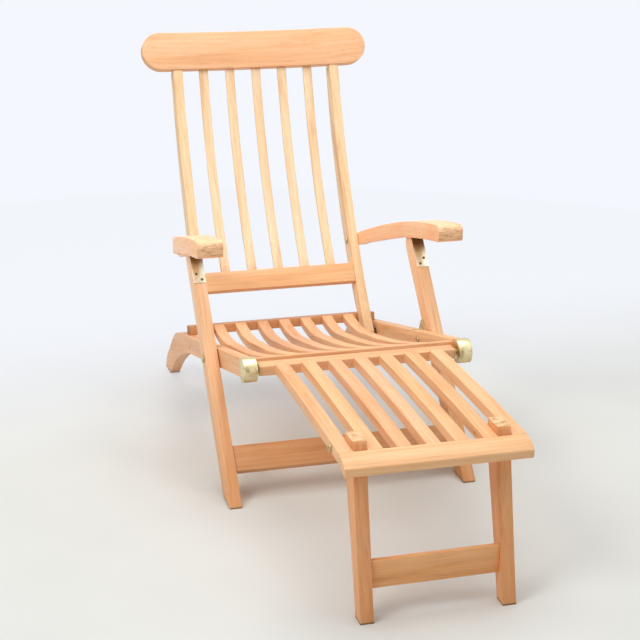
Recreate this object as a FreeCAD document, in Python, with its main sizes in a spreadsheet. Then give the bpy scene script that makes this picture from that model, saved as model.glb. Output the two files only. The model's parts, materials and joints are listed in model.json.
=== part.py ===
import FreeCAD
import Part
import Sketcher
import os
import re

# Steamer deck chair in its own frame: millimetres, +Z up, front towards -Y,
# origin on the floor under the middle of the chair's bounding box.
# Every piece is drawn with y measured from the footrest hinge and z from the floor.

Vector = FreeCAD.Vector
doc = FreeCAD.newDocument("SteamerDeckChair")
sheet = doc.addObject("Spreadsheet::Sheet", "Dimensions")
layout = doc.addObject("App::VarSet", "Layout")
names = {}
nodes = []


def full(text):
    return re.sub(r"[A-Za-z_]\w*", lambda m: names.get(m.group(0), m.group(0)), text)


def derive(name, text):
    layout.addProperty("App::PropertyFloat", name)
    layout.setExpression(name, full(text))
    names[name] = "Layout." + name
    doc.recompute()


def number(text):
    value = layout.evalExpression(full(text))
    return float(getattr(value, "Value", value))


SIZES = {
    # Seat frame: two side rails that slope down to the rear and end in curved rear feet.
    "seat_width": 452.0,  # clear width between the side rails
    "rail_thickness": 25.0,  # side rail, across the chair
    "rail_depth": 41.0,  # side rail, square to its length
    "rail_slope": 14.72,  # fall of the side rails to the rear, degrees
    "rail_height": 318.1,  # rail centre line above the floor at its front end
    "hinge_drop": 4.0,  # footrest hinge axis below the rail centre line
    "foot_front": 825.0,  # hinge to the front of a rear foot
    "foot_length": 57.0,  # length of a rear foot on the floor
    "arch_start": 568.0,  # where the underside leaves the straight, along the rail
    "haunch_start": 718.0,  # where the top leaves the straight, along the rail
    "haunch_radius": 205.0,  # first bend of the top over the rear foot
    "haunch_slope": 44.0,  # slope of the top between its two bends, degrees
    "haunch_run": 62.0,  # straight length between the two bends
    "heel_bulge": 5.0,  # roundness of the heel
    # Seat: front and rear bars with seven dished slats between them.
    "seat_bar_gap": 23.0,  # footrest hinge to the front seat bar
    "seat_bar_width": 20.0,  # front seat bar, along the rail
    "seat_bar_depth": 30.0,  # front seat bar, height
    "seat_bar_top": 17.0,  # top of the front seat bar over the rail centre line
    "rear_bar_start": 620.0,  # hinge to the rear seat bar, along the rail
    "rear_bar_width": 44.0,  # rear seat bar, along the rail
    "rear_bar_depth": 22.0,  # rear seat bar, height
    "rear_bar_inset": 12.0,  # rail side to the end of the rear bar
    "seat_slat_width": 27.5,  # seat slat, across the chair
    "seat_slat_depth": 20.0,  # seat slat thickness
    "seat_side_gap": 44.85,  # side rail to the outer seat slat
    "seat_dip_at": 286.0,  # lowest point of the dish, along the rail
    "seat_dip": 3.0,  # height of the lowest point over the rail centre line
    "seat_rise_at": 448.0,  # where the dish turns up to the rear bar
    "seat_rise": 7.0,  # height at that turn
    "seat_sweep_at": 562.0,  # point on the upturn, along the rail
    "seat_sweep": 21.5,  # height of that point
    # Back: curved stiles, five slats, lower rail and a rounded head rail.
    "back_pivot_at": 579.6,  # hinge to the back pivot, along the rail
    "back_pivot_drop": 6.0,  # back pivot below the rail centre line
    "stile_gap": 10.0,  # rail to stile
    "stile_thickness": 23.0,  # stile, across the chair
    "back_start_run": 19.0,  # foot of the back's front line ahead of the pivot
    "back_start_rise": 11.0,  # foot of the back's front line over the pivot
    "back_mid_run": 180.0,  # middle of the back's front line behind the pivot
    "back_mid_rise": 290.0,  # middle of the back's front line over the pivot
    "back_top_run": 336.0,  # head of the back's front line behind the pivot
    "back_top_rise": 626.0,  # head of the back's front line over the pivot
    "stile_low_depth": 54.0,  # stile depth below the arm, level
    "stile_mid_depth": 52.0,  # stile depth at mid height, level
    "stile_top_depth": 38.0,  # stile depth under the head rail, level
    "stile_foot_radius": 22.0,  # round end of the stile under its pivot
    "bar_clearance": 1.0,  # stile to the rear seat bar
    "lower_rail_rise": 118.5,  # underside of the lower back rail over the pivot
    "lower_rail_depth": 50.0,  # lower back rail, along the back
    "lower_rail_thickness": 22.0,  # lower back rail thickness
    "lower_rail_setback": 1.5,  # stile front to the lower rail face
    "back_slat_width": 22.5,  # back slat, across the chair
    "back_slat_thickness": 11.0,  # back slat thickness
    "back_slat_setback": 5.0,  # lower rail face to slat face
    "back_slat_sweep": 16.0,  # slat face behind the front line at mid height, level
    "head_length": 583.0,  # head rail, across the chair
    "head_depth": 95.0,  # head rail, along the back
    "head_thickness": 25.0,  # head rail thickness
    "head_lean": 24.7,  # head rail from upright, degrees
    "head_hollow": 13.0,  # hollow of the head rail's face in plan
    "head_forward": 11.0,  # head rail ends ahead of the stile line
    # Arms.
    "arm_pivot_run": 151.0,  # arm pivot behind the back pivot
    "arm_pivot_rise": 201.0,  # arm pivot over the back pivot
    "arm_gap": 1.0,  # stile to arm
    "arm_width": 58.0,  # arm rest width at the front
    "arm_tail_width": 27.0,  # arm width at its pivot
    "arm_tail_radius": 14.0,  # round tail of the arm
    "arm_tail_slope": 21.8,  # slope of the arm at its tail, degrees
    "arm_reach": 518.0,  # arm pivot to the front of the arm
    "arm_front_rise": 136.0,  # arm underside at the front over the arm pivot
    "arm_front_depth": 37.0,  # arm depth at the front
    "arm_mid_back": 258.0,  # middle of the arm ahead of its pivot
    "arm_mid_rise": 76.0,  # arm underside at the middle over the arm pivot
    "arm_mid_depth": 39.0,  # arm depth at the middle
    "arm_overhang": 7.0,  # leg inner side to arm inner side
    "arm_taper_start": 262.0,  # arm pivot to where the outer edge turns in
    "arm_taper_end": 40.0,  # arm pivot to where the outer edge is narrow
    "arm_nose": 16.0,  # rounding of the arm's front end, top
    "arm_nose_low": 8.0,  # rounding of the arm's front end, underside
    "groove_side": 1.0,  # leg side to the side of the arm groove
    "groove_over": 1.2,  # strap to the roof of the arm groove
    "groove_front": 5.0,  # strap to the front wall of the arm groove
    "groove_rear": 16.0,  # strap to the rear wall of the arm groove
    # Front legs.
    "leg_pivot_at": 252.6,  # hinge to the leg pivot, along the rail
    "leg_gap": 3.0,  # rail to front leg
    "leg_thickness": 28.0,  # front leg, across the chair
    "leg_depth": 46.0,  # front leg depth
    "leg_lean": 41.5,  # front leg from upright, degrees
    "leg_upper": 244.0,  # leg pivot to the centre of the leg's round top
    "stretcher_foot": 65.0,  # leg stretcher up from the foot, along the leg
    "stretcher_depth": 59.0,  # leg stretcher, along the leg
    "stretcher_thickness": 22.0,  # leg stretcher thickness
    "stretcher_setback": 3.0,  # leg face to stretcher face
    "strap_gauge": 2.0,  # brass strap thickness
    "strap_length": 69.5,  # strap leaf below the round top
    "stop_width": 14.0,  # leg stop, across the chair
    "stop_length": 26.0,  # leg stop, along the rail
    "stop_height": 22.0,  # leg stop over the rail
    "stop_clearance": 0.4,  # leg to leg stop
    "fin_front_run": 11.4,  # leg pivot to the front of the stop's upright leaf
    "fin_top_run": 40.2,  # leg pivot to the top of the upright leaf
    "fin_height": 24.0,  # upright leaf over the rail
    "fin_gauge": 2.0,  # thickness of the stop's leaves
    "flat_leaf_run": 41.4,  # leg pivot to the leaf across the rail's top
    "flat_leaf_length": 8.0,  # that leaf, along the rail
    "flat_leaf_inset": 4.0,  # rail's inner side to that leaf
    # Footrest.
    "bar_gap": 8.0,  # rail to footrest end plate
    "plate_gauge": 1.5,  # footrest end plate thickness
    "rest_bar_width": 32.0,  # footrest bar, front to rear
    "rest_bar_depth": 22.0,  # footrest bar, height
    "rest_slat_width": 29.0,  # footrest slat, across the chair
    "rest_side_gap": 31.0,  # outer footrest slat to the end of the footrest bar
    "rest_slat_depth": 21.0,  # footrest slat thickness
    "rest_crown": 3.5,  # rise of the footrest slats at mid length
    "rest_slat_top": 10.5,  # slat top over the front end of the rail line, at the bar
    "board_at": 478.0,  # hinge to the rear edge of the footrest board
    "board_width": 42.0,  # footrest board, front to rear
    "board_top": 7.0,  # board top over the front end of the rail line, at its rear edge
    "nose_drop": 17.0,  # fall of the board's top to its nose
    "nose_depth": 16.0,  # depth of the board's nose
    "board_depth": 23.0,  # depth of the board at its rear edge
    "board_bulge": 3.5,  # roundness of the board's top
    "rest_pivot_at": 430.0,  # hinge to the footrest leg pivot
    "rest_pivot_drop": 4.1,  # footrest leg pivot below the front end of the rail line
    "rest_leg_side": 0.5,  # footrest slat to footrest leg
    "rest_leg_clearance": 1.0,  # footrest leg head to board
    "rest_leg_head": 26.0,  # footrest leg head over its pivot
    "rest_leg_rear": 8.0,  # footrest leg behind its pivot
    "rest_foot_reach": 113.0,  # front of a footrest foot ahead of its pivot
    "rest_foot_length": 32.0,  # length of a footrest foot on the floor
    "rest_knee_drop": 109.0,  # middle of a footrest leg below its pivot
    "rest_knee_front": 66.0,  # front edge there ahead of the pivot
    "rest_knee_rear": 21.0,  # rear edge there ahead of the pivot
    "rest_stretcher_low": 57.0,  # footrest stretcher above the floor
    "rest_stretcher_depth": 58.0,  # footrest stretcher height
    "rest_stretcher_thickness": 12.0,  # footrest stretcher thickness
    "rest_stretcher_at": 84.0,  # footrest stretcher face ahead of the leg pivot
    # Brass fittings and pivots.
    "cap_gauge": 2.0,  # rail cap thickness
    "cap_leaf": 14.0,  # rail cap leaves behind the hinge axis
    "bolt_radius": 4.0,  # pivot bolts
    "running_fit": 0.05,  # pivot bolt to moving hole, radial
    "head_radius": 8.5,  # pivot bolt head
    "head_rise": 4.0,  # pivot bolt head thickness
    "face_clearance": 0.3,  # bolt head or washer to a moving face
    "washer_radius": 11.0,  # washer outer radius
    "pin_length": 14.0,  # footrest pin inside the rail
    "screw_radius": 3.2,  # small screw heads
    "screw_rise": 1.2,  # small screw head thickness
}
for row, alias in enumerate(SIZES, start=1):
    sheet.set("A%d" % row, alias)
    sheet.set("B%d" % row, str(SIZES[alias]))
    sheet.setAlias("B%d" % row, alias)
    names[alias] = "Dimensions." + alias
doc.recompute()

# Half widths across the chair, from the middle outwards.
derive("rail_in", "seat_width / 2")
derive("rail_out", "rail_in + rail_thickness")
derive("stile_out", "rail_in - stile_gap")
derive("stile_in", "stile_out - stile_thickness")
derive("leg_in", "rail_out + leg_gap")
derive("leg_out", "leg_in + leg_thickness")
derive("arm_in", "leg_in - arm_overhang")
derive("arm_out", "arm_in + arm_width")
derive("tail_in", "stile_out + arm_gap")
derive("tail_out", "tail_in + arm_tail_width")
derive("back_pitch", "(stile_in + stile_thickness / 2) / 3")
derive("plate_out", "rail_in - bar_gap")
derive("plate_in", "plate_out - plate_gauge")
derive("seat_slat_pitch", "(rail_in - seat_side_gap - seat_slat_width / 2) / 3")
derive("rest_slat_pitch", "(plate_in - rest_side_gap - rest_slat_width / 2) / 3")
derive("rest_half", "3 * rest_slat_pitch + rest_slat_width / 2")
derive("rest_leg_out", "rest_half - rest_slat_width - rest_leg_side")
derive("rest_leg_in", "rest_half - rest_slat_pitch + rest_leg_side")

# Pivots, seen from the side.
derive("half_rail", "rail_depth / 2")
derive("half_leg", "leg_depth / 2")
derive("hinge_z", "rail_height - hinge_drop")
derive("nose_radius", "half_rail + hinge_drop * cos(rail_slope)")
derive("leg_y", "leg_pivot_at * cos(rail_slope)")
derive("leg_z", "rail_height - leg_pivot_at * sin(rail_slope)")
derive("stretcher_at", "leg_z / cos(leg_lean) - stretcher_foot - stretcher_depth")
derive("back_y", "back_pivot_at * cos(rail_slope) - back_pivot_drop * sin(rail_slope)")
derive("back_z", "rail_height - back_pivot_at * sin(rail_slope)"
       " - back_pivot_drop * cos(rail_slope)")
derive("arm_y", "back_y + arm_pivot_run")
derive("arm_z", "back_z + arm_pivot_rise")
derive("rest_y", "-rest_pivot_at")
derive("rest_z", "rail_height - rest_pivot_drop")
derive("crest_y", "leg_y + leg_upper * sin(leg_lean)")
derive("crest_z", "leg_z + leg_upper * cos(leg_lean)")
derive("head_y", "back_y + back_top_run - head_forward")
derive("head_z", "back_z + back_top_rise")
derive("front_reach", "rest_pivot_at + rest_foot_reach")
derive("rear_reach", "head_y + (head_thickness + head_hollow) * cos(head_lean)"
       " + head_depth * sin(head_lean)")
derive("hinge_y", "(front_reach - rear_reach) / 2")


def rail_point(along, over):
    y = "(%s) * cos(rail_slope) + (%s) * sin(rail_slope)" % (along, over)
    z = "rail_height - (%s) * sin(rail_slope) + (%s) * cos(rail_slope)" % (along, over)
    return (y, z)


def nose_point(along, over):
    y = "(%s) * cos(rail_slope) + (%s) * sin(rail_slope)" % (along, over)
    z = "hinge_z - (%s) * sin(rail_slope) + (%s) * cos(rail_slope)" % (along, over)
    return (y, z)


def leg_point(along, behind):
    y = "leg_y + (%s) * sin(leg_lean) + (%s) * cos(leg_lean)" % (along, behind)
    z = "leg_z + (%s) * cos(leg_lean) - (%s) * sin(leg_lean)" % (along, behind)
    return (y, z)


def head_point(behind, up):
    y = "head_y + (%s) * cos(head_lean) + (%s) * sin(head_lean)" % (behind, up)
    z = "head_z - (%s) * sin(head_lean) + (%s) * cos(head_lean)" % (behind, up)
    return (y, z)


# The back's front line is a parabola through its foot, middle and head.
derive("back_span", "back_top_rise - back_start_rise")
derive("back_low_slope", "(back_mid_run + back_start_run) / (back_mid_rise - back_start_rise)")
derive("back_all_slope", "(back_top_run + back_start_run) / back_span")
derive("back_curve", "(back_all_slope - back_low_slope) / (back_top_rise - back_mid_rise)")


def back_line(rise):
    return ("back_y - back_start_run + back_low_slope * ((%s) - back_start_rise)"
            " + back_curve * ((%s) - back_start_rise) * ((%s) - back_mid_rise)"
            % (rise, rise, rise))


derive("low_y", back_line("lower_rail_rise"))
derive("low_z", "back_z + lower_rail_rise")
derive("low_top_rise", "lower_rail_rise + lower_rail_depth * 0.8")
derive("low_lean", "atan((%s - low_y) / (low_top_rise - lower_rail_rise))"
       % ("(" + back_line("low_top_rise") + ")"))


def lower_point(behind, up):
    y = "low_y + (%s) * cos(low_lean) + (%s) * sin(low_lean)" % (behind, up)
    z = "low_z - (%s) * sin(low_lean) + (%s) * cos(low_lean)" % (behind, up)
    return (y, z)


def line_to(point):
    return ("line", point, None)


def arc_to(middle, point):
    return ("arc", point, middle)


def place(obj):
    obj.setExpression("Placement.Base.y", full("hinge_y"))


def new_body(label):
    body = doc.addObject("PartDesign::Body", "Body_" + label)
    body.Label = label
    place(body)
    return body


def new_sketch(body, role):
    sketch = body.newObject("Sketcher::SketchObject", "Sketch_" + body.Label)
    plane = [f for f in body.Origin.OriginFeatures if f.Role == role][0]
    sketch.AttachmentSupport = [(plane, "")]
    sketch.MapMode = "FlatFace"
    return sketch


def tie(sketch, kind, geo, pos, text):
    index = sketch.addConstraint(Sketcher.Constraint(kind, -1, 1, geo, pos, number(text)))
    sketch.setExpression("Constraints[%d]" % index, full(text))


def outline(sketch, start, steps):
    """Closed wire from start through every step; the last step returns to the start."""
    points = [start] + [step[1] for step in steps[:-1]]
    values = [Vector(number(p[0]), number(p[1]), 0) for p in points]
    count = len(steps)
    ends = []
    for i in range(count):
        first = values[i]
        last = values[(i + 1) % count]
        middle = steps[i][2]
        if middle is None:
            index = sketch.addGeometry(Part.LineSegment(first, last), False)
            ends.append((index, 1, 2))
            continue
        through = Vector(number(middle[0]), number(middle[1]), 0)
        turn = (through - first).cross(last - through).z
        if turn > 0:
            index = sketch.addGeometry(Part.Arc(first, through, last), False)
            ends.append((index, 1, 2))
        else:
            index = sketch.addGeometry(Part.Arc(last, through, first), False)
            ends.append((index, 2, 1))
        mark = sketch.addGeometry(Part.Point(through), True)
        tie(sketch, "DistanceX", mark, 1, middle[0])
        tie(sketch, "DistanceY", mark, 1, middle[1])
        sketch.addConstraint(Sketcher.Constraint("PointOnObject", mark, 1, index))
    for i in range(count):
        this = ends[i]
        following = ends[(i + 1) % count]
        sketch.addConstraint(
            Sketcher.Constraint("Coincident", this[0], this[2], following[0], following[1]))
    for i in range(count):
        tie(sketch, "DistanceX", ends[i][0], ends[i][1], points[i][0])
        tie(sketch, "DistanceY", ends[i][0], ends[i][1], points[i][1])


def circle(sketch, centre, radius):
    shape = Part.Circle(Vector(number(centre[0]), number(centre[1]), 0),
                        Vector(0, 0, 1), number(radius))
    index = sketch.addGeometry(shape, False)
    tie(sketch, "DistanceX", index, 3, centre[0])
    tie(sketch, "DistanceY", index, 3, centre[1])
    rule = sketch.addConstraint(Sketcher.Constraint("Radius", index, number(radius)))
    sketch.setExpression("Constraints[%d]" % rule, full(radius))


def pad(body, sketch, length):
    feature = body.newObject("PartDesign::Pad", "Pad_" + body.Label)
    feature.Profile = sketch
    feature.setExpression("Length", full(length))
    doc.recompute()
    return feature


def pocket(body, sketch, length, both_ways):
    before = body.Shape.Volume
    feature = body.newObject("PartDesign::Pocket", "Pocket_" + body.Label)
    feature.Profile = sketch
    feature.Reversed = not both_ways
    feature.Midplane = both_ways
    feature.setExpression("Length", full(length))
    doc.recompute()
    if body.Shape.Volume >= before - 1.0:
        raise RuntimeError(body.Label + ": a pocket cut nothing")
    return feature


def keep(obj):
    nodes.append(obj)
    return obj


def plank(label, start, steps, inner, outer, side, holes=()):
    """A piece cut to a side view and standing between two distances from the middle."""
    body = new_body(label)
    sketch = new_sketch(body, "YZ_Plane")
    outline(sketch, start, steps)
    for centre, radius in holes:
        circle(sketch, centre, radius)
    pad(body, sketch, "(%s) - (%s)" % (outer, inner))
    if side > 0:
        body.setExpression("Placement.Base.x", full(inner))
    else:
        body.setExpression("Placement.Base.x", full("-(%s)" % outer))
    return keep(body)


def box_steps(a, b, c, d):
    return a, [line_to(b), line_to(c), line_to(d), line_to(a)]


def rod(label, centre, radius, inner, outer):
    """A round bar across the chair."""
    bar = doc.addObject("Part::Cylinder", "Rod_" + label)
    bar.Label = label
    bar.Placement = FreeCAD.Placement(Vector(0, 0, 0),
                                      FreeCAD.Rotation(Vector(0, 1, 0), 90))
    bar.setExpression("Radius", full(radius))
    bar.setExpression("Height", full("(%s) - (%s)" % (outer, inner)))
    bar.setExpression("Placement.Base.x", full(inner))
    bar.setExpression("Placement.Base.y", full("hinge_y + (%s)" % centre[0]))
    bar.setExpression("Placement.Base.z", full(centre[1]))
    return bar


def fused(label, shapes):
    joined = doc.addObject("Part::MultiFuse", "Fused_" + label)
    joined.Label = label
    joined.Shapes = shapes
    return joined


def group(label, shapes):
    gathered = doc.addObject("Part::Compound", "Group_" + label)
    gathered.Label = label
    gathered.Links = shapes
    return keep(gathered)


def mirrored_span(inner, outer, side):
    if side > 0:
        return inner, outer
    return "-(%s)" % outer, "-(%s)" % inner


SIDES = (("left", -1), ("right", 1))
HINGE = ("0", "hinge_z")
LEG = ("leg_y", "leg_z")
BACK = ("back_y", "back_z")
ARM = ("arm_y", "arm_z")
REST = ("rest_y", "rest_z")
FIT = "bolt_radius + running_fit"

# Side rails with their rear feet.
derive("haunch_y", "haunch_start * cos(rail_slope) + half_rail * sin(rail_slope)"
       " - haunch_radius * sin(rail_slope)")
derive("haunch_z", "rail_height - haunch_start * sin(rail_slope)"
       " + half_rail * cos(rail_slope) - haunch_radius * cos(rail_slope)")


def haunch_point(angle):
    return ("haunch_y + haunch_radius * sin(%s)" % angle,
            "haunch_z + haunch_radius * cos(%s)" % angle)


shoulder = haunch_point("haunch_slope")
hip = (shoulder[0] + " + haunch_run * cos(haunch_slope)",
       shoulder[1] + " - haunch_run * sin(haunch_slope)")
derive("hip_y", hip[0])
derive("hip_z", hip[1])
arch = rail_point("arch_start", "-half_rail")
derive("arch_y", arch[0])
derive("arch_z", arch[1])
derive("arch_chord", "sqrt((foot_front - arch_y)^2 + arch_z^2)")
derive("arch_fall", "atan(arch_z / (foot_front - arch_y))")
derive("arch_bulge", "arch_chord / 2 * tan((arch_fall - rail_slope) / 2)")
arch_middle = ("(arch_y + foot_front) / 2 + arch_bulge * sin(arch_fall)",
               "arch_z / 2 + arch_bulge * cos(arch_fall)")
heel_middle = ("(hip_y + foot_front + foot_length) / 2 + heel_bulge", "hip_z / 2 + heel_bulge")

for word, side in SIDES:
    plank("side_rail_" + word, nose_point("0", "nose_radius"), [
        line_to(rail_point("haunch_start", "half_rail")),
        arc_to(haunch_point("((rail_slope + haunch_slope) / 2)"), shoulder),
        line_to(("hip_y", "hip_z")),
        arc_to(heel_middle, ("foot_front + foot_length", "0")),
        line_to(("foot_front", "0")),
        arc_to(arch_middle, arch),
        line_to(rail_point("cap_leaf", "-half_rail")),
        line_to(nose_point("cap_leaf", "-nose_radius")),
        line_to(nose_point("0", "-nose_radius")),
        arc_to(nose_point("-nose_radius", "0"), None),
    ], "rail_in", "rail_out", side, holes=[(LEG, FIT), (BACK, FIT), (HINGE, FIT)])

# Seat bars and slats.
start, steps = box_steps(
    rail_point("rear_bar_start", "half_rail"),
    rail_point("rear_bar_start + rear_bar_width", "half_rail"),
    rail_point("rear_bar_start + rear_bar_width", "half_rail + rear_bar_depth"),
    rail_point("rear_bar_start", "half_rail + rear_bar_depth"))
plank("seat_rear_bar", start, steps,
      "-(rail_out - rear_bar_inset)", "rail_out - rear_bar_inset", 1)
start, steps = box_steps(
    rail_point("seat_bar_gap", "seat_bar_top - seat_bar_depth"),
    rail_point("seat_bar_gap + seat_bar_width", "seat_bar_top - seat_bar_depth"),
    rail_point("seat_bar_gap + seat_bar_width", "seat_bar_top"),
    rail_point("seat_bar_gap", "seat_bar_top"))
plank("seat_front_bar", start, steps, "-rail_in", "rail_in", 1)

for i in range(7):
    centre = "%d * seat_slat_pitch" % (i - 3)
    first = "seat_bar_gap + seat_bar_width"
    rear_over = "half_rail + rear_bar_depth"
    under = " - seat_slat_depth"
    plank("seat_slat_%d" % (i + 1), rail_point(first, "seat_bar_top"), [
        arc_to(rail_point("seat_dip_at", "seat_dip"), rail_point("seat_rise_at", "seat_rise")),
        arc_to(rail_point("seat_sweep_at", "seat_sweep"), rail_point("rear_bar_start", rear_over)),
        line_to(rail_point("rear_bar_start", rear_over + under)),
        arc_to(rail_point("seat_sweep_at", "seat_sweep" + under),
               rail_point("seat_rise_at", "seat_rise" + under)),
        arc_to(rail_point("seat_dip_at", "seat_dip" + under),
               rail_point(first, "seat_bar_top" + under)),
        line_to(None),
    ], centre + " - seat_slat_width / 2", centre + " + seat_slat_width / 2", 1)

# Brass caps over the rail noses, with a hole on the inner side for the hinge pin.
for word, side in SIDES:
    body = new_body("rail_cap_" + word)
    sketch = new_sketch(body, "YZ_Plane")
    outline(sketch, nose_point("cap_leaf", "nose_radius + cap_gauge"), [
        line_to(nose_point("0", "nose_radius + cap_gauge")),
        arc_to(nose_point("-(nose_radius + cap_gauge)", "0"),
               nose_point("0", "-(nose_radius + cap_gauge)")),
        line_to(nose_point("cap_leaf", "-(nose_radius + cap_gauge)")),
        line_to(None),
    ])
    pad(body, sketch, "rail_thickness + cap_gauge * 2")
    sketch = new_sketch(body, "YZ_Plane")
    outline(sketch, nose_point("cap_leaf + cap_gauge", "nose_radius"), [
        line_to(nose_point("0", "nose_radius")),
        arc_to(nose_point("-nose_radius", "0"), nose_point("0", "-nose_radius")),
        line_to(nose_point("cap_leaf + cap_gauge", "-nose_radius")),
        line_to(None),
    ])
    sketch.setExpression("AttachmentOffset.Base.z", full("cap_gauge"))
    shift = "rail_in - cap_gauge" if side > 0 else "-(rail_out + cap_gauge)"
    body.setExpression("Placement.Base.x", full(shift))
    pocket(body, sketch, "rail_thickness", False)
    sketch = new_sketch(body, "YZ_Plane")
    circle(sketch, HINGE, FIT)
    if side < 0:
        sketch.setExpression("AttachmentOffset.Base.z", full("cap_gauge + rail_thickness"))
    pocket(body, sketch, "cap_gauge", False)
    keep(body)

# Leg stops: a brass wedge behind each leg, with an upright leaf between the rail and
# the leg and a flat leaf across the rail's top.
derive("stop_tilt", "leg_lean - rail_slope")
derive("stop_face", "leg_pivot_at + (half_leg + stop_clearance) / cos(stop_tilt)")
derive("stop_low_over", "half_rail / 2")
derive("stop_high_over", "half_rail + stop_height")
derive("stop_rear", "stop_face + half_rail * tan(stop_tilt) + stop_length")
for word, side in SIDES:
    stop_low = rail_point("stop_face + stop_low_over * tan(stop_tilt)", "stop_low_over")
    stop_high = rail_point("stop_face + stop_high_over * tan(stop_tilt)", "stop_high_over")
    body = plank("leg_stop_" + word, stop_low, [
        line_to(stop_high),
        line_to(rail_point("stop_rear", "half_rail")),
        line_to(rail_point("stop_rear", "stop_low_over")),
        line_to(None),
    ], "rail_out", "rail_out + stop_width", side)
    sketch = new_sketch(body, "YZ_Plane")
    outline(sketch, rail_point("leg_pivot_at + fin_front_run", "stop_low_over"), [
        line_to(rail_point("leg_pivot_at + fin_front_run", "half_rail")),
        line_to(rail_point("leg_pivot_at + fin_top_run", "half_rail + fin_height")),
        line_to(rail_point("stop_rear", "half_rail")),
        line_to(rail_point("stop_rear", "stop_low_over")),
        line_to(None),
    ])
    if side < 0:
        sketch.setExpression("AttachmentOffset.Base.z", full("stop_width - fin_gauge"))
    pad(body, sketch, "fin_gauge")
    leaf_end = "leg_pivot_at + flat_leaf_run + flat_leaf_length"
    sketch = new_sketch(body, "YZ_Plane")
    outline(sketch, rail_point("leg_pivot_at + flat_leaf_run", "half_rail"), [
        line_to(rail_point("leg_pivot_at + flat_leaf_run", "half_rail + fin_gauge")),
        line_to(rail_point(leaf_end, "half_rail + fin_gauge")),
        line_to(rail_point(leaf_end, "half_rail")),
        line_to(None),
    ])
    start = "flat_leaf_inset - rail_thickness" if side > 0 else "stop_width - fin_gauge"
    sketch.setExpression("AttachmentOffset.Base.z", full(start))
    pad(body, sketch, "rail_thickness - flat_leaf_inset + fin_gauge")

# Back pivot bolts, leg pivot bolts and washers.
bolts = []
for word, side in SIDES:
    inner, outer = mirrored_span("stile_in - head_rise", "rail_out - screw_rise", side)
    shank = rod("back_shank_" + word, BACK, "bolt_radius", inner, outer)
    inner, outer = mirrored_span("stile_in - face_clearance - head_rise",
                                 "stile_in - face_clearance", side)
    head = rod("back_nut_" + word, BACK, "head_radius", inner, outer)
    inner, outer = mirrored_span("stile_out + face_clearance",
                                 "rail_in", side)
    spacer = rod("back_spacer_" + word, BACK, "washer_radius", inner, outer)
    bolts.append(fused("back_bolt_" + word, [shank, head, spacer]))
group("back_bolts", bolts)

bolts = []
for word, side in SIDES:
    inner, outer = mirrored_span("rail_in - head_rise", "leg_out + face_clearance", side)
    shank = rod("leg_shank_" + word, LEG, "bolt_radius", inner, outer)
    inner, outer = mirrored_span("rail_in - head_rise", "rail_in", side)
    nut = rod("leg_nut_" + word, LEG, "head_radius", inner, outer)
    inner, outer = mirrored_span("leg_out + face_clearance",
                                 "leg_out + face_clearance + head_rise", side)
    head = rod("leg_head_" + word, LEG, "head_radius", inner, outer)
    inner, outer = mirrored_span("rail_out", "leg_in - face_clearance", side)
    washer = rod("leg_washer_" + word, LEG, "washer_radius", inner, outer)
    bolts.append(fused("leg_bolt_" + word, [shank, nut, head, washer]))
group("leg_bolts", bolts)

# Front legs with a round top, their stretcher and the brass straps.
foot_middle = "leg_y - leg_z * tan(leg_lean)"
for word, side in SIDES:
    plank("front_leg_" + word, (foot_middle + " - half_leg / cos(leg_lean)", "0"), [
        line_to((foot_middle + " + half_leg / cos(leg_lean)", "0")),
        line_to(leg_point("leg_upper", "half_leg")),
        arc_to(leg_point("leg_upper + half_leg", "0"), leg_point("leg_upper", "-half_leg")),
        line_to(None),
    ], "leg_in", "leg_out", side, holes=[(LEG, FIT)])
for word, side in SIDES:
    low = "leg_upper - strap_length"
    wide = "half_leg + strap_gauge"
    plank("leg_strap_" + word, leg_point(low, "-(" + wide + ")"), [
        line_to(leg_point(low, "-half_leg")),
        line_to(leg_point("leg_upper", "-half_leg")),
        arc_to(leg_point("leg_upper + half_leg", "0"), leg_point("leg_upper", "half_leg")),
        line_to(leg_point(low, "half_leg")),
        line_to(leg_point(low, wide)),
        line_to(leg_point("leg_upper", wide)),
        arc_to(leg_point("leg_upper + " + wide, "0"),
               leg_point("leg_upper", "-(" + wide + ")")),
        line_to(None),
    ], "leg_in", "leg_out", side)
start, steps = box_steps(
    leg_point("-stretcher_at", "stretcher_setback - half_leg"),
    leg_point("-stretcher_at", "stretcher_setback - half_leg + stretcher_thickness"),
    leg_point("-stretcher_at - stretcher_depth",
              "stretcher_setback - half_leg + stretcher_thickness"),
    leg_point("-stretcher_at - stretcher_depth", "stretcher_setback - half_leg"))
plank("leg_stretcher", start, steps, "-leg_in", "leg_in", 1)

# Back: stiles, lower rail, slats and head rail.
derive("bar_face_y", rail_point("rear_bar_start", "half_rail + rear_bar_depth")[0])
derive("bar_face_z", rail_point("rear_bar_start", "half_rail + rear_bar_depth")[1])
top_behind = "head_forward * cos(head_lean)"
derive("stile_top_y", head_point(top_behind, "0")[0])
derive("stile_top_z", head_point(top_behind, "0")[1])
rear_top = head_point(top_behind + " + stile_top_depth * cos(head_lean)", "0")
for word, side in SIDES:
    plank("stile_" + word, ("back_y - back_start_run", "back_z + back_start_rise"), [
        arc_to((back_line("back_mid_rise"), "back_z + back_mid_rise"),
               ("stile_top_y", "stile_top_z")),
        line_to(rear_top),
        arc_to((back_line("back_mid_rise") + " + stile_mid_depth", "back_z + back_mid_rise"),
               (back_line("rear_bar_depth * 2.5") + " + stile_low_depth",
                "back_z + rear_bar_depth * 2.5")),
        line_to(("bar_face_y - bar_clearance", "bar_face_z + bar_clearance")),
        line_to(("back_y + stile_foot_radius", "back_z")),
        arc_to(("back_y", "back_z - stile_foot_radius"),
               ("back_y - back_start_run", "back_z - bar_clearance")),
        line_to(None),
    ], "stile_in", "stile_out", side, holes=[(BACK, FIT), (ARM, FIT)])

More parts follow.
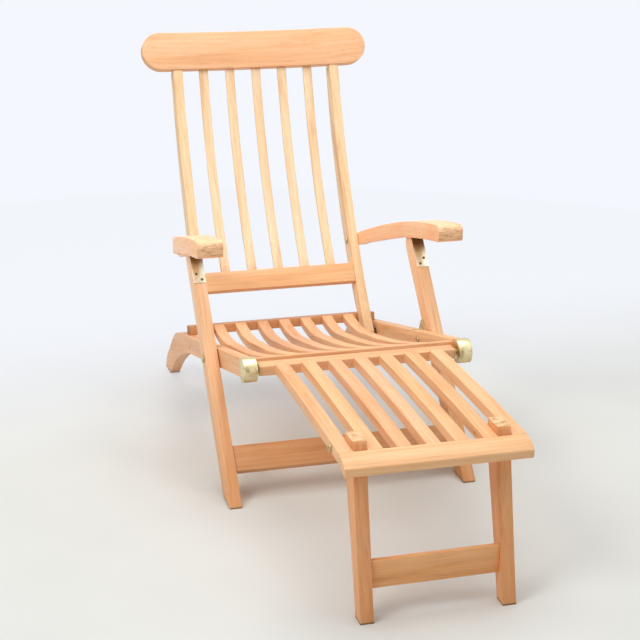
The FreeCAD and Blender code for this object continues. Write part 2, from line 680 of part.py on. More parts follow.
start, steps = box_steps(
    lower_point("lower_rail_setback", "0"),
    lower_point("lower_rail_setback + lower_rail_thickness", "0"),
    lower_point("lower_rail_setback + lower_rail_thickness", "lower_rail_depth"),
    lower_point("lower_rail_setback", "lower_rail_depth"))
plank("back_lower_rail", start, steps, "-stile_in", "stile_in", 1)

slat_face = "lower_rail_setback + back_slat_setback"
slat_back = slat_face + " + back_slat_thickness"
head_face = "head_hollow + (head_thickness - back_slat_thickness) / 2"
head_back = head_face + " + back_slat_thickness"
slat_mid = back_line("back_mid_rise") + " + back_slat_sweep"
for i in range(5):
    centre = "%d * back_pitch" % (i - 2)
    plank("back_slat_%d" % (i + 1), lower_point(slat_face, "lower_rail_depth"), [
        arc_to((slat_mid, "back_z + back_mid_rise"), head_point(head_face, "0")),
        line_to(head_point(head_back, "0")),
        arc_to((slat_mid + " + back_slat_thickness", "back_z + back_mid_rise"),
               lower_point(slat_back, "lower_rail_depth")),
        line_to(None),
    ], centre + " - back_slat_width / 2", centre + " + back_slat_width / 2", 1)

body = new_body("head_rail")
sketch = new_sketch(body, "XZ_Plane")
half = "head_length / 2 - head_depth / 2"
outline(sketch, ("-(" + half + ")", "0"), [
    line_to((half, "0")),
    arc_to(("head_length / 2", "head_depth / 2"), (half, "head_depth")),
    line_to(("-(" + half + ")", "head_depth")),
    arc_to(("-head_length / 2", "head_depth / 2"), None),
])
head_pad = pad(body, sketch, "head_thickness + head_hollow")
head_pad.Reversed = True
doc.recompute()
sketch = new_sketch(body, "XY_Plane")
outline(sketch, ("-head_length / 2 - 1", "-1"), [
    line_to(("head_length / 2 + 1", "-1")),
    line_to(("head_length / 2 + 1", "0")),
    arc_to(("0", "head_hollow"), ("-head_length / 2 - 1", "0")),
    line_to(None),
])
pocket(body, sketch, "head_depth * 3", True)
sketch = new_sketch(body, "XY_Plane")
outline(sketch, ("-head_length / 2 - 1", "head_thickness + head_hollow + 1"), [
    line_to(("-head_length / 2 - 1", "head_thickness")),
    arc_to(("0", "head_thickness + head_hollow"), ("head_length / 2 + 1", "head_thickness")),
    line_to(("head_length / 2 + 1", "head_thickness + head_hollow + 1")),
    line_to(None),
])
pocket(body, sketch, "head_depth * 3", True)
body.Placement = FreeCAD.Placement(Vector(0, 0, 0),
                                   FreeCAD.Rotation(Vector(-1, 0, 0), number("head_lean")))
body.setExpression("Placement.Rotation.Angle", full("head_lean"))
body.setExpression("Placement.Base.y", full("hinge_y + head_y"))
body.setExpression("Placement.Base.z", full("head_z"))
keep(body)

# Arms: side view first, then the plan, then the groove over the leg strap.
tail_top = ("arm_y + arm_tail_radius * sin(arm_tail_slope)",
            "arm_z + arm_tail_radius * cos(arm_tail_slope)")
tail_end = ("arm_y + arm_tail_radius * cos(arm_tail_slope)",
            "arm_z - arm_tail_radius * sin(arm_tail_slope)")
tail_low = ("arm_y - arm_tail_radius * sin(arm_tail_slope)",
            "arm_z - arm_tail_radius * cos(arm_tail_slope)")
derive("strap_radius", "half_leg + strap_gauge")
for word, side in SIDES:
    body = new_body("arm_" + word)
    sketch = new_sketch(body, "YZ_Plane")
    outline(sketch, ("arm_y - arm_reach + arm_nose_low", "arm_z + arm_front_rise"), [
        arc_to(("arm_y - arm_mid_back", "arm_z + arm_mid_rise"), tail_low),
        arc_to(tail_end, tail_top),
        arc_to(("arm_y - arm_mid_back", "arm_z + arm_mid_rise + arm_mid_depth"),
               ("arm_y - arm_reach + arm_nose", "arm_z + arm_front_rise + arm_front_depth")),
        arc_to(("arm_y - arm_reach + arm_nose * (1 - sin(45))",
                "arm_z + arm_front_rise + arm_front_depth - arm_nose * (1 - sin(45))"),
               ("arm_y - arm_reach", "arm_z + arm_front_rise + arm_front_depth - arm_nose")),
        line_to(("arm_y - arm_reach", "arm_z + arm_front_rise + arm_nose_low")),
        arc_to(("arm_y - arm_reach + arm_nose_low * (1 - sin(45))",
                "arm_z + arm_front_rise + arm_nose_low * (1 - sin(45))"), None),
    ])
    circle(sketch, ARM, FIT)
    pad(body, sketch, "arm_out - tail_in")
    sign = "" if side > 0 else "-"
    inner_edge = [
        ("%s(tail_in - 1)" % sign, "arm_y - arm_reach - 1"),
        ("%sarm_in" % sign, "arm_y - arm_reach - 1"),
        ("%sarm_in" % sign, "arm_y - arm_taper_start"),
        ("%s(tail_in + (arm_in - tail_in) * 0.75)" % sign,
         "arm_y - arm_taper_end - (arm_taper_start - arm_taper_end) * 0.6"),
        ("%stail_in" % sign, "arm_y - arm_taper_end"),
        ("%s(tail_in - 1)" % sign, "arm_y - arm_taper_end"),
    ]
    outer_edge = [
        ("%s(arm_out + 1)" % sign, "arm_y - arm_taper_start"),
        ("%sarm_out" % sign, "arm_y - arm_taper_start"),
        ("%s(tail_out + (arm_out - tail_out) * 0.7)" % sign,
         "arm_y - arm_taper_end - (arm_taper_start - arm_taper_end) * 0.5"),
        ("%stail_out" % sign, "arm_y - arm_taper_end"),
        ("%stail_out" % sign, "arm_y + arm_tail_radius + 1"),
        ("%s(arm_out + 1)" % sign, "arm_y + arm_tail_radius + 1"),
    ]
    shift = "tail_in" if side > 0 else "-arm_out"
    body.setExpression("Placement.Base.x", full(shift))

    def moved(point):
        return (point[0] + " - (" + shift + ")", point[1])

    plan = new_sketch(body, "XY_Plane")
    outline(plan, moved(inner_edge[0]), [
        line_to(moved(inner_edge[1])),
        line_to(moved(inner_edge[2])),
        arc_to(moved(inner_edge[3]), moved(inner_edge[4])),
        line_to(moved(inner_edge[5])),
        line_to(None),
    ])
    pocket(body, plan, "arm_z * 4", True)
    plan = new_sketch(body, "XY_Plane")
    outline(plan, moved(outer_edge[0]), [
        line_to(moved(outer_edge[1])),
        arc_to(moved(outer_edge[2]), moved(outer_edge[3])),
        line_to(moved(outer_edge[4])),
        line_to(moved(outer_edge[5])),
        line_to(None),
    ])
    pocket(body, plan, "arm_z * 4", True)
    groove = new_sketch(body, "YZ_Plane")
    front = "crest_y - strap_radius - groove_front"
    rear = "crest_y + strap_radius + groove_rear"
    roof = "crest_z + strap_radius + groove_over"
    outline(groove, (front, "crest_z - strap_radius"), [
        line_to((rear, "crest_z - strap_radius")),
        line_to((rear, roof)),
        line_to((front, roof)),
        line_to(None),
    ])
    if side > 0:
        groove.setExpression("AttachmentOffset.Base.z", full("leg_in - groove_side - tail_in"))
    else:
        groove.setExpression("AttachmentOffset.Base.z", full("arm_out - leg_out - groove_side"))
    pocket(body, groove, "leg_thickness + groove_side * 2", False)
    keep(body)

bolts = []
for word, side in SIDES:
    inner, outer = mirrored_span("stile_in - head_rise", "tail_out + face_clearance", side)
    shank = rod("arm_shank_" + word, ARM, "bolt_radius", inner, outer)
    inner, outer = mirrored_span("stile_in - head_rise", "stile_in", side)
    nut = rod("arm_nut_" + word, ARM, "head_radius", inner, outer)
    inner, outer = mirrored_span("tail_out + face_clearance",
                                 "tail_out + face_clearance + head_rise", side)
    head = rod("arm_head_" + word, ARM, "head_radius", inner, outer)
    bolts.append(fused("arm_bolt_" + word, [shank, nut, head]))
group("arm_bolts", bolts)

# Footrest: bar, slats, board, end plates with their pins, and leg bolts.
derive("half_bar", "rest_bar_width / 2")
derive("bar_low", "hinge_z - rest_bar_depth / 2")
derive("bar_high", "hinge_z + rest_bar_depth / 2")
start, steps = box_steps(("-half_bar", "bar_low"), ("half_bar", "bar_low"),
                         ("half_bar", "bar_high"), ("-half_bar", "bar_high"))
plank("footrest_bar", start, steps, "-plate_in", "plate_in", 1)
derive("slat_mid_y", "-(half_bar + board_at) / 2")
derive("slat_mid_z", "rail_height + (rest_slat_top + board_top) / 2 + rest_crown")
for i in range(7):
    centre = "%d * rest_slat_pitch" % (i - 3)
    holes = []
    if i in (0, 1, 5, 6):
        holes.append((REST, FIT))
    plank("footrest_slat_%d" % (i + 1), ("-half_bar", "rail_height + rest_slat_top"), [
        arc_to(("slat_mid_y", "slat_mid_z"), ("-board_at", "rail_height + board_top")),
        line_to(("-board_at", "rail_height + board_top - rest_slat_depth")),
        arc_to(("slat_mid_y", "slat_mid_z - rest_slat_depth"),
               ("-half_bar", "rail_height + rest_slat_top - rest_slat_depth")),
        line_to(None),
    ], centre + " - rest_slat_width / 2", centre + " + rest_slat_width / 2", 1, holes=holes)
nose = "-(board_at + board_width)"
plank("footrest_board", ("-board_at", "rail_height + board_top"), [
    arc_to(("-(board_at + board_width * 0.55)",
            "rail_height + board_top - nose_drop / 2 + board_bulge"),
           (nose, "rail_height + board_top - nose_drop")),
    line_to((nose, "rail_height + board_top - nose_drop - nose_depth")),
    line_to(("-board_at", "rail_height + board_top - board_depth")),
    line_to(None),
], "-rest_half", "rest_half", 1)
for word, side in SIDES:
    start, steps = box_steps(("-half_bar", "bar_low"), ("half_bar", "bar_low"),
                             ("half_bar", "bar_high"), ("-half_bar", "bar_high"))
    body = plank("footrest_plate_" + word, start, steps, "plate_in", "plate_out", side)
    sketch = new_sketch(body, "YZ_Plane")
    circle(sketch, HINGE, "bolt_radius")
    pin = pad(body, sketch, "plate_gauge + bar_gap + pin_length")
    if side < 0:
        sketch.setExpression("AttachmentOffset.Base.z", full("plate_gauge"))
        pin.Reversed = True
        doc.recompute()

bolts = []
for word, side in SIDES:
    derived_inner = "rest_half - rest_slat_pitch - rest_slat_width / 2"
    inner, outer = mirrored_span(derived_inner, "rest_half", side)
    shank = rod("rest_shank_" + word, REST, "bolt_radius", inner, outer)
    inner, outer = mirrored_span("rest_half", "rest_half + head_rise", side)
    head = rod("rest_head_" + word, REST, "head_radius", inner, outer)
    bolts.append(fused("footrest_bolt_" + word, [shank, head]))
group("footrest_bolts", bolts)

# Footrest legs and their stretcher.
derive("peg_radius", "board_at - rest_pivot_at - rest_leg_clearance")
derive("peg_front", "rest_y - sqrt(peg_radius^2 - rest_leg_head^2)")
derive("shoulder_drop", "board_depth - board_top - rest_pivot_drop + rest_leg_clearance")
for word, side in SIDES:
    plank("footrest_leg_" + word, ("rest_y + rest_leg_rear", "rest_z + rest_leg_head"), [
        line_to(("peg_front", "rest_z + rest_leg_head")),
        arc_to(("rest_y - peg_radius", "rest_z"),
               ("rest_y - sqrt(peg_radius^2 - shoulder_drop^2)", "rest_z - shoulder_drop")),
        arc_to(("rest_y - rest_knee_front", "rest_z - rest_knee_drop"),
               ("rest_y - rest_foot_reach", "0")),
        line_to(("rest_y - rest_foot_reach + rest_foot_length", "0")),
        arc_to(("rest_y - rest_knee_rear", "rest_z - rest_knee_drop"),
               ("rest_y + rest_leg_rear", "rest_z - rest_slat_depth")),
        line_to(None),
    ], "rest_leg_in", "rest_leg_out", side, holes=[(REST, FIT)])
derive("rest_stretcher_y", "rest_y - rest_stretcher_at")
start, steps = box_steps(
    ("rest_stretcher_y", "rest_stretcher_low"),
    ("rest_stretcher_y + rest_stretcher_thickness", "rest_stretcher_low"),
    ("rest_stretcher_y + rest_stretcher_thickness",
     "rest_stretcher_low + rest_stretcher_depth"),
    ("rest_stretcher_y", "rest_stretcher_low + rest_stretcher_depth"))
plank("footrest_stretcher", start, steps, "-rest_leg_in", "rest_leg_in", 1)

# Small screws: strap leaves and cap leaves.
def screw_on_leg(label, along, across, behind, outwards):
    head = doc.addObject("Part::Cylinder", "Screw_" + label)
    head.Label = label
    tilt = FreeCAD.Rotation(Vector(1, 0, 0), outwards * 90 - number("leg_lean"))
    head.Placement = FreeCAD.Placement(Vector(0, 0, 0), tilt)
    head.setExpression("Radius", full("screw_radius"))
    head.setExpression("Height", full("screw_rise"))
    point = leg_point(along, behind)
    head.setExpression("Placement.Base.x", full(across))
    head.setExpression("Placement.Base.y", full("hinge_y + " + point[0]))
    head.setExpression("Placement.Base.z", full(point[1]))
    return head


screws = []
for word, side in SIDES:
    sign = "" if side > 0 else "-"
    for part, along, share in (("low", 8, 0.3), ("high", 22, 0.7)):
        across = "%s(leg_in + leg_thickness * %s)" % (sign, share)
        up = "leg_upper - strap_length + %d" % along
        screws.append(screw_on_leg("strap_front_%s_%s" % (part, word), up, across,
                                   "-(half_leg + strap_gauge)", 1))
        screws.append(screw_on_leg("strap_rear_%s_%s" % (part, word), up, across,
                                   "half_leg + strap_gauge", -1))
group("strap_screws", screws)

# Every object must have recomputed, and every piece must be a sound solid.
doc.recompute()
for obj in doc.Objects:
    if "Invalid" in obj.State or "Error" in obj.State:
        raise RuntimeError("failed: " + obj.Label + " " + str(obj.State))
for obj in nodes:
    if obj.Shape.isNull() or not obj.Shape.isValid() or obj.Shape.Volume < 1.0:
        raise RuntimeError("unsound shape: " + obj.Label)

os.makedirs("parts", exist_ok=True)
for obj in nodes:
    obj.Shape.exportStep("parts/" + obj.Label + ".step")
print(len(nodes), "pieces")
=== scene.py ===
"""Looks of the steamer deck chair, in metres.

Every CAD piece is shown by a copy of itself with softened edges, in teak or brass, on a
pale floor under a bluish-white surround, through a camera at the photograph's place.
"""
import json
import math

import bmesh
import bpy
from mathutils import Matrix, Vector

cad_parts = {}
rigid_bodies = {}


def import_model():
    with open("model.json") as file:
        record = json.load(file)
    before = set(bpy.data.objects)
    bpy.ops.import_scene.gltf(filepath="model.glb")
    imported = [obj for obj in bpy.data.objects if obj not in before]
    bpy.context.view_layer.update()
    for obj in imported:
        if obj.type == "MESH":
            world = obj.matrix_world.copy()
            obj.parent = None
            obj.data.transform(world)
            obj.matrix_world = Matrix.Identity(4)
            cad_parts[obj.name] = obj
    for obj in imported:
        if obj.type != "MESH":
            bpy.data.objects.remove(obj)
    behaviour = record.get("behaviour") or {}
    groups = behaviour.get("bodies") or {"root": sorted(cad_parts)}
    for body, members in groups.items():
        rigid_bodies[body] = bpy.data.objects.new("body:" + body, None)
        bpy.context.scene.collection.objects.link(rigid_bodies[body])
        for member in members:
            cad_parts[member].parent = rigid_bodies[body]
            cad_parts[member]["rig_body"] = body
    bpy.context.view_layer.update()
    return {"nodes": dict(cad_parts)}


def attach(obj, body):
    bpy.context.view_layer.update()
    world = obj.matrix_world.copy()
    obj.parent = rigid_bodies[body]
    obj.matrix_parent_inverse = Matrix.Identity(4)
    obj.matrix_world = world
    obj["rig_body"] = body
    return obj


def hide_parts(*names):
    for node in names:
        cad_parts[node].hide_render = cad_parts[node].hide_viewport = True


# Camera, from the perspective fit to the photograph; angles in degrees.
CAMERA_PLACE = (-0.956, -3.1907, 1.491)
AZIMUTH, ELEVATION, ROLL = -16.30, 19.15, 0.80
LENS_MM, SENSOR_MM, CLIP_END = 88.2, 36, 100

# Softened edges.
WELD = 1e-6
FLAT_ANGLE, BEVEL_ANGLE, SMOOTH_ANGLE = 0.6, 38, 30
WOOD_EDGE, WOOD_SEGMENTS = 0.0022, 3
METAL_EDGE, METAL_SEGMENTS = 0.0004, 2
WORN_EDGE, WORN_SEGMENTS = 0.0045, 4  # under the feet and on the peg tops
FOOT_EDGE_TOP = 0.0005  # edges of a leg below this height stand on the floor
PEG_EDGE_LOW = 0.333  # edges of a footrest leg above this height are its peg's top
ROUND = {"head_rail": 0.0018, "arm": 0.003, "footrest_board": 0.0018, "footrest_leg": 0.004}

# Teak.
PALE, HONEY, RUST = (0.93, 0.56, 0.30), (0.88, 0.475, 0.225), (0.70, 0.33, 0.14)
PORE = (0.40, 0.17, 0.07)
RING_SHARE, PORE_SHARE = 0.17, 0.24
END_BROWN, END_PALE = (0.68, 0.40, 0.20), (0.90, 0.60, 0.34)
CRACK, ARM_CRACK = (0.42, 0.20, 0.08), (0.10, 0.045, 0.02)
# Darker band at the very bottom of pieces that stand on the floor.
BOTTOM_DARK, BOTTOM_DARK_HEIGHT = (0.30, 0.24, 0.20), 0.004
ON_FLOOR = 0.001  # a piece that reaches below this height stands on the floor
BLACK, WHITE = (0, 0, 0), (1, 1, 1)
PLAIN = (1.0, 1.0, 1.0)
# Tints over the timber: the general run, which differs at random, and painted light on the
# paler pieces and painted shade on the darker ones.
TONES = ((1.0, 1.0, 1.0), (0.96, 0.93, 0.90), (1.03, 1.05, 1.08), (0.98, 0.96, 0.98),
         (1.02, 1.03, 1.02), (0.95, 0.91, 0.93), (1.0, 0.98, 1.04))
LIGHT_AND_SHADE_TINTS = {"back_slat": (1.07, 1.38, 1.72), "stile": (1.07, 1.33, 1.55),
         "arm": (1.22, 1.30, 1.50), "front_leg": (1.18, 1.34, 1.56),
         "seat_rear_bar": (0.80, 0.69, 0.62), "footrest_leg": (0.92, 0.76, 0.64),
         "footrest_stretcher": (0.98, 0.86, 0.72), "leg_stretcher": (0.80, 0.70, 0.62)}
# Painted shade: the front legs darken towards their feet.
FOOT_SHADE_TINTS = {"front_leg": (0.88, 0.76, 0.66)}
# Painted light on the arms' end faces and painted shade on the rear seat bar's end faces.
END_LIGHT_AND_SHADE_TINTS = {"seat_rear_bar": (0.58, 0.44, 0.40), "arm": (1.16, 1.14, 1.20)}

# Brass: painted shade and a painted dark reflection on the straps near the arms above them.
STRAP_PAINTED_SHADE_ABOVE, PAINTED_SHADE_BAND = 0.446, 0.040

# Floor and surround.
SURROUND = (0.905, 0.93, 0.985, 1)
AMBIENT, AMBIENT_LEVEL = (0.97, 0.98, 1.0, 1), 0.38
FLOOR_TINT, FLOOR_CLOUDING = (0.71, 0.72, 0.69), 0.03
FLOOR_REACH = 30.0
FADE_DEPTH, FADE_SHARE = 1.15, 0.95  # the floor fades towards the rear
FADE_NEAR, FADE_FAR = 1.4, 2.6  # and with its distance from the middle

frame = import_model()
nodes = frame["nodes"]
scene = bpy.context.scene


def make_camera():
    azimuth, elevation, roll = map(math.radians, (AZIMUTH, ELEVATION, ROLL))
    look = Vector((-math.sin(azimuth) * math.cos(elevation),
                   math.cos(azimuth) * math.cos(elevation), -math.sin(elevation)))
    right = Vector((math.cos(azimuth), math.sin(azimuth), 0))
    up = right.cross(look)
    right_rolled = math.cos(roll) * right + math.sin(roll) * up
    up_rolled = -math.sin(roll) * right + math.cos(roll) * up
    data = bpy.data.cameras.new("camera")
    data.sensor_width = SENSOR_MM
    data.lens = LENS_MM
    data.clip_end = CLIP_END
    camera = bpy.data.objects.new("camera", data)
    turn = Matrix((right_rolled, up_rolled, -look)).transposed().to_4x4()
    camera.matrix_world = Matrix.Translation(CAMERA_PLACE) @ turn
    scene.collection.objects.link(camera)
    scene.camera = camera


def new_tree(owner):
    """The owner's node tree, emptied."""
    owner.use_nodes = True
    owner.node_tree.nodes.clear()
    return owner.node_tree


def new(tree, kind, inputs=None, **settings):
    """A node; its inputs are set to values or linked to sockets, its settings set."""
    node = tree.nodes.new(kind)
    for key, value in settings.items():
        setattr(node, key, value)
    for key, value in (inputs or {}).items():
        if isinstance(value, bpy.types.NodeSocket):
            tree.links.new(value, node.inputs[key])
        else:
            node.inputs[key].default_value = value
    return node


def ramp(tree, factor, stops):
    node = new(tree, "ShaderNodeValToRGB", {0: factor})
    elements = node.color_ramp.elements
    while len(elements) < len(stops):
        elements.new(0.5)
    for element, (place, colour) in zip(elements, stops):
        element.position = place
        element.color = (*colour, 1)
    return node.outputs[0]


def math_node(tree, operation, a, b=0.0):
    return new(tree, "ShaderNodeMath", {0: a, 1: b}, operation=operation).outputs[0]


def vector_node(tree, operation, a, b):
    return new(tree, "ShaderNodeVectorMath", {0: a, 1: b}, operation=operation).outputs[0]


def noise(tree, place, channel=0, **inputs):
    named = {key.replace("_", " "): value for key, value in inputs.items()}
    return new(tree, "ShaderNodeTexNoise", {"Vector": place, **named}).outputs[channel]


def height_of(tree, place):
    return new(tree, "ShaderNodeSeparateXYZ", {0: place}).outputs[2]


def mapped(tree, value, low, high, to_low=0.0, to_high=1.0, **settings):
    return new(tree, "ShaderNodeMapRange", {0: value, 1: low, 2: high, 3: to_low, 4: to_high},
               **settings).outputs[0]


def mix(tree, factor, a, b, how="MIX"):
    node = new(tree, "ShaderNodeMix", {0: factor}, data_type="RGBA", blend_type=how)
    for index, value in ((6, a), (7, b)):
        if isinstance(value, bpy.types.NodeSocket):
            tree.links.new(value, node.inputs[index])
        else:
            node.inputs[index].default_value = (*value, 1)
    return node.outputs[2]


def bumped(tree, height, strength, distance):
    return new(tree, "ShaderNodeBump", {"Height": height, "Strength": strength,
               "Distance": distance}).outputs[0]


def grain_turn(points):
    """Rotation that lays a piece's longest direction along X, and that direction."""
    centre = sum(points, Vector()) / len(points)
    axis = Vector((0.3, 0.8, 0.5)).normalized()
    for _ in range(60):
        total = Vector()
        for point in points:
            arm = point - centre
            total += arm * arm.dot(axis)
        if total.length > 0:
            axis = total.normalized()
    return axis.rotation_difference(Vector((1, 0, 0))), axis


def middle(a, b):
    return tuple((x + y) / 2 for x, y in zip(a, b))


def product(a, b):
    return tuple(x * y for x, y in zip(a, b))


def teak(name, points, seed, tone_light_and_shade, foot_tone_and_shade, end_light_and_shade, cracks):
    """Oiled teak: drifting colour, long grain lines, dark pores and rough end grain."""
    material = bpy.data.materials.new("teak_" + name)
    tree = new_tree(material)
    turn, axis = grain_turn(points)
    texture = new(tree, "ShaderNodeTexCoord")
    place = texture.outputs["Object"]
    laid = new(tree, "ShaderNodeMapping", {"Vector": place, "Rotation": turn.to_euler(),
               "Location": (seed * 0.37, seed * 0.61, seed * 0.23)}).outputs[0]

    # Long grain: drift of colour, growth rings and pores, all drawn out along the piece.
    along = vector_node(tree, "MULTIPLY", laid, (1.0, 14.0, 14.0))
    drift = noise(tree, along, Scale=3.2, Detail=4.0, Roughness=0.55, Distortion=0.4)
    bend = noise(tree, laid, channel=1, Scale=5.0, Detail=2.0)
    warp = vector_node(tree, "MULTIPLY", bend, (0.010, 0.010, 0.010))
    bent = vector_node(tree, "ADD", laid, warp)
    flat = vector_node(tree, "MULTIPLY", bent, (0.10, 1.0, 1.0))
    rings = new(tree, "ShaderNodeTexWave", {"Vector": flat, "Scale": 34.0, "Distortion": 2.4,
                "Detail": 3.0, "Detail Scale": 1.6}, wave_type="RINGS",
                rings_direction="X").outputs[1]
    stretch = vector_node(tree, "MULTIPLY", bent, (9.0, 420.0, 420.0))
    fibre = noise(tree, stretch, Scale=1.0, Detail=3.0, Roughness=0.6)
    pores = ramp(tree, fibre, [(0.0, WHITE), (0.36, WHITE), (0.44, BLACK), (1.0, BLACK)])
    ground = ramp(tree, drift, [(0.22, RUST), (0.42, HONEY), (0.62, PALE), (0.85, HONEY)])
    ringed = mix(tree, math_node(tree, "MULTIPLY", rings, RING_SHARE), ground, RUST)
    pored = mix(tree, math_node(tree, "MULTIPLY", pores, PORE_SHARE), ringed, PORE)

    # End grain: the faces that the piece's own length runs into.
    facing = new(tree, "ShaderNodeVectorMath", {0: texture.outputs["Normal"], 1: tuple(axis)},
                 operation="DOT_PRODUCT").outputs["Value"]
    end = ramp(tree, math_node(tree, "ABSOLUTE", facing),
               [(0.0, BLACK), (0.72, BLACK), (0.90, WHITE), (1.0, WHITE)])
    checks = vector_node(tree, "MULTIPLY", place, (70.0, 110.0, 480.0))
    specks = noise(tree, checks, Scale=1.0, Detail=4.0, Roughness=0.7)
    # The end grain carries the end faces' painted light and painted shade.
    speckled = ramp(tree, specks, [(0.28, cracks), (0.42, product(END_BROWN, end_light_and_shade)),
                                   (0.58, product(END_PALE, end_light_and_shade))])

    # Tint from the piece's lower to its upper end, carrying painted light and painted shade
    # from the tint tables, and darker at the very bottom where it stands on the floor.
    low = min(point.z for point in points)
    high = max(point.z for point in points)
    level = mapped(tree, height_of(tree, place), low, high)
    bottom_colour = BOTTOM_DARK if low < ON_FLOOR else foot_tone_and_shade
    bottom_dark_top = BOTTOM_DARK_HEIGHT / (high - low)
    height_light_and_shade = ramp(tree, level, [(0.0, bottom_colour), (bottom_dark_top * 0.6, bottom_colour), (bottom_dark_top, foot_tone_and_shade),
                                (0.5, middle(foot_tone_and_shade, tone_light_and_shade)), (1.0, tone_light_and_shade)])
    colour = mix(tree, end, mix(tree, 1.0, pored, height_light_and_shade, "MULTIPLY"), speckled)

    rough_ends = math_node(tree, "MULTIPLY", math_node(tree, "MULTIPLY", specks, end), 1.5)
    relief = math_node(tree, "ADD", math_node(tree, "MULTIPLY", fibre, 0.6), rough_ends)
    gloss = mapped(tree, drift, 0.2, 0.8, 0.52, 0.40)
    rough = math_node(tree, "ADD", gloss, math_node(tree, "MULTIPLY", end, 0.3))
    shader = new(tree, "ShaderNodeBsdfPrincipled", {"Base Color": colour, "Roughness": rough,
                 "Normal": bumped(tree, relief, 0.35, 0.0006), "Specular IOR Level": 0.3})
    new(tree, "ShaderNodeOutputMaterial", {0: shader.outputs[0]})
    return material


def brass(name, base, dull, painted_shade_above=None):
    """Slightly tarnished brass with fine wiped scratches; above a height it may be darkened by
    painted shade and painted reflection.
    """
    material = bpy.data.materials.new(name)
    tree = new_tree(material)
    place = new(tree, "ShaderNodeTexCoord").outputs["Object"]
    cloud = noise(tree, place, Scale=55.0, Detail=5.0, Roughness=0.62)
    fine = vector_node(tree, "MULTIPLY", place, (60.0, 900.0, 900.0))
    wiped = noise(tree, fine, Scale=1.0, Detail=2.0)
    colour = ramp(tree, cloud, [(0.30, dull), (0.50, base), (0.85, base)])
    if painted_shade_above:
        # Painted shade and painted reflection: the brass darkens towards the arm above it.
        level = mapped(tree, height_of(tree, place), painted_shade_above - PAINTED_SHADE_BAND, painted_shade_above)
        shade = ramp(tree, level, [(0.0, WHITE), (0.5, (0.78, 0.74, 0.66)),
                                   (0.85, (0.34, 0.27, 0.20)), (1.0, (0.22, 0.15, 0.10))])
        colour = mix(tree, 1.0, colour, shade, "MULTIPLY")
    rough = mapped(tree, cloud, 0.3, 0.7, 0.48, 0.26)
    shader = new(tree, "ShaderNodeBsdfPrincipled", {"Base Color": colour, "Roughness": rough,
                 "Metallic": 1.0, "Normal": bumped(tree, wiped, 0.12, 0.0002)})
    new(tree, "ShaderNodeOutputMaterial", {0: shader.outputs[0]})
    return material


def worn(node, edge):
    """Edges rounded by wear: under the feet of the legs and round their peg tops."""
    heights = [vert.co.z for vert in edge.verts]
    if node.startswith(("front_leg", "footrest_leg")) and max(heights) < FOOT_EDGE_TOP:
        return True
    return node.startswith("footrest_leg") and min(heights) > PEG_EDGE_LOW


def soften(node, radius, segments, material):
    """Show a CAD piece by a copy of itself with softened edges."""
    mesh = nodes[node].data.copy()
    work = bmesh.new()
    work.from_mesh(mesh)
    bmesh.ops.remove_doubles(work, verts=work.verts, dist=WELD)
    bmesh.ops.dissolve_limit(work, angle_limit=math.radians(FLAT_ANGLE), verts=work.verts,
                             edges=work.edges)
    edges = [edge for edge in work.edges if worn(node, edge)]
    if edges:
        bmesh.ops.bevel(work, geom=edges, offset=WORN_EDGE, segments=WORN_SEGMENTS,
                        profile=0.5, affect="EDGES", clamp_overlap=True)
    work.to_mesh(mesh)
    work.free()
    mesh.materials.clear()
    mesh.materials.append(material)
    piece = bpy.data.objects.new(node + "_finished", mesh)
    scene.collection.objects.link(piece)
    bevel = piece.modifiers.new("edges", "BEVEL")
    bevel.width = radius
    bevel.segments = segments
    bevel.limit_method = "ANGLE"
    bevel.angle_limit = math.radians(BEVEL_ANGLE)
    bevel.use_clamp_overlap = True
    applied = bpy.data.meshes.new_from_object(
        piece.evaluated_get(bpy.context.evaluated_depsgraph_get()))
    piece.modifiers.clear()
    piece.data = applied
    for polygon in applied.polygons:
        polygon.use_smooth = True
    applied.set_sharp_from_angle(angle=math.radians(SMOOTH_ANGLE))
    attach(piece, nodes[node]["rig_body"])
    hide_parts(node)


def looked_up(node, table, otherwise):
    """The table's entry for the start of the node's name."""
    for start, value in table.items():
        if node.startswith(start):
            return value
    return otherwise


def finish_pieces():
    caps = brass("brass_caps", (0.78, 0.66, 0.38), (0.42, 0.31, 0.14))
    straps = brass("brass_straps", (0.93, 0.90, 0.70), (0.72, 0.66, 0.44), STRAP_PAINTED_SHADE_ABOVE)
    bolts = brass("brass_bolts", (0.62, 0.50, 0.27), (0.30, 0.21, 0.10))
    # Dark brass: on the back bolts' heads it is painted shade, standing for the dark hole they
    # sit in; the strap screws share it.
    dark_brass_shade = brass("brass_dark_painted_shade", (0.20, 0.15, 0.09), (0.09, 0.065, 0.04))
    metal = {"rail_cap": caps, "footrest_plate": caps, "leg_strap": straps, "leg_stop": bolts,
             "leg_bolts": bolts, "arm_bolts": bolts, "footrest_bolts": bolts,
             "back_bolts": dark_brass_shade, "strap_screws": dark_brass_shade}
    for index, node in enumerate(sorted(nodes)):
        brass_of_piece = looked_up(node, metal, None)
        if brass_of_piece:
            soften(node, METAL_EDGE, METAL_SEGMENTS, brass_of_piece)
            continue
        points = [vert.co.copy() for vert in nodes[node].data.vertices]
        # Listed pieces take painted light (paler) or painted shade (darker); the others take a
        # random tone.
        tone_light_and_shade = looked_up(node, LIGHT_AND_SHADE_TINTS, TONES[index % len(TONES)])
        wood = teak(node, points, index + 1, tone_light_and_shade, looked_up(node, FOOT_SHADE_TINTS, tone_light_and_shade),
                    looked_up(node, END_LIGHT_AND_SHADE_TINTS, PLAIN),
                    ARM_CRACK if node.startswith("arm_") else CRACK)
        soften(node, looked_up(node, ROUND, WOOD_EDGE), WOOD_SEGMENTS, wood)


def seen_ray(tree):
    """1 where the camera or a polished surface looks at the background itself."""
    path = new(tree, "ShaderNodeLightPath")
    return math_node(tree, "MAXIMUM", path.outputs["Is Camera Ray"],
                     path.outputs["Is Glossy Ray"])


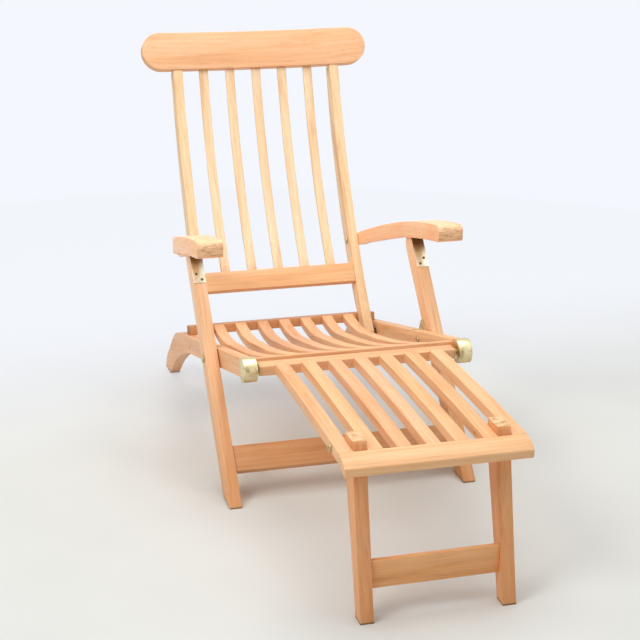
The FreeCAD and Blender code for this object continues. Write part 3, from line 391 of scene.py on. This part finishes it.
def make_floor():
    """Pale floor, which fades into the surround behind the chair and far from it."""
    mesh = bpy.data.meshes.new("floor")
    mesh.from_pydata([(-FLOOR_REACH, -FLOOR_REACH, 0), (FLOOR_REACH, -FLOOR_REACH, 0),
                      (FLOOR_REACH, FLOOR_REACH, 0), (-FLOOR_REACH, FLOOR_REACH, 0)],
                     [], [(0, 1, 2, 3)])
    floor = bpy.data.objects.new("floor", mesh)
    scene.collection.objects.link(floor)
    material = bpy.data.materials.new("floor")
    tree = new_tree(material)
    place = new(tree, "ShaderNodeTexCoord").outputs["Object"]
    depth = new(tree, "ShaderNodeSeparateXYZ", {0: place}).outputs[1]
    behind = mapped(tree, depth, 0.0, FADE_DEPTH, 0.0, FADE_SHARE,
                    interpolation_type="SMOOTHSTEP")
    radius = new(tree, "ShaderNodeVectorMath", {0: place}, operation="LENGTH").outputs["Value"]
    away = mapped(tree, radius, FADE_NEAR, FADE_FAR, interpolation_type="SMOOTHSTEP")
    far = math_node(tree, "MAXIMUM", behind, away)
    cloud = noise(tree, place, Scale=2.2, Detail=2.0)
    tint = ramp(tree, cloud, [(0.3, tuple((1 - FLOOR_CLOUDING) * c for c in FLOOR_TINT)),
                              (0.7, tuple((1 + FLOOR_CLOUDING) * c for c in FLOOR_TINT))])
    ground = new(tree, "ShaderNodeBsdfPrincipled", {"Base Color": tint, "Roughness": 0.7,
                 "Specular IOR Level": 0.2}).outputs[0]
    glow = new(tree, "ShaderNodeEmission", {"Color": SURROUND, "Strength": 1.0}).outputs[0]
    share = math_node(tree, "MULTIPLY", seen_ray(tree), far)
    shader = new(tree, "ShaderNodeMixShader", {0: share, 1: ground, 2: glow})
    new(tree, "ShaderNodeOutputMaterial", {0: shader.outputs[0]})
    mesh.materials.append(material)


def make_world():
    """Soft ambient light, and the surround where it is looked at."""
    world = bpy.data.worlds.new("studio")
    tree = new_tree(world)
    light = new(tree, "ShaderNodeBackground", {"Color": AMBIENT, "Strength": AMBIENT_LEVEL})
    shown = new(tree, "ShaderNodeBackground", {"Color": SURROUND, "Strength": 1.0})
    shader = new(tree, "ShaderNodeMixShader", {0: seen_ray(tree), 1: light.outputs[0],
                 2: shown.outputs[0]})
    new(tree, "ShaderNodeOutputWorld", {0: shader.outputs[0]})
    scene.world = world


def lamp(name, place, target, width, power, colour=(1, 1, 1)):
    data = bpy.data.lights.new(name, "AREA")
    data.shape = "SQUARE"
    data.size = width
    data.energy = power
    data.color = colour
    light = bpy.data.objects.new(name, data)
    light.location = place
    aim = Vector(target) - Vector(place)
    light.rotation_euler = aim.to_track_quat("-Z", "Y").to_euler()
    scene.collection.objects.link(light)


make_camera()
finish_pieces()
make_floor()
make_world()
lamp("key", (-3.4, -1.5, 3.7), (0, 0.1, 0.4), 2.2, 96, (1.0, 0.985, 0.96))
lamp("fill", (2.8, -1.6, 2.4), (0, 0.2, 0.5), 2.4, 11, (0.98, 0.99, 1.0))
lamp("top", (0.2, 0.2, 3.4), (0, 0.1, 0.3), 2.4, 72)
scene.view_settings.view_transform = "Standard"
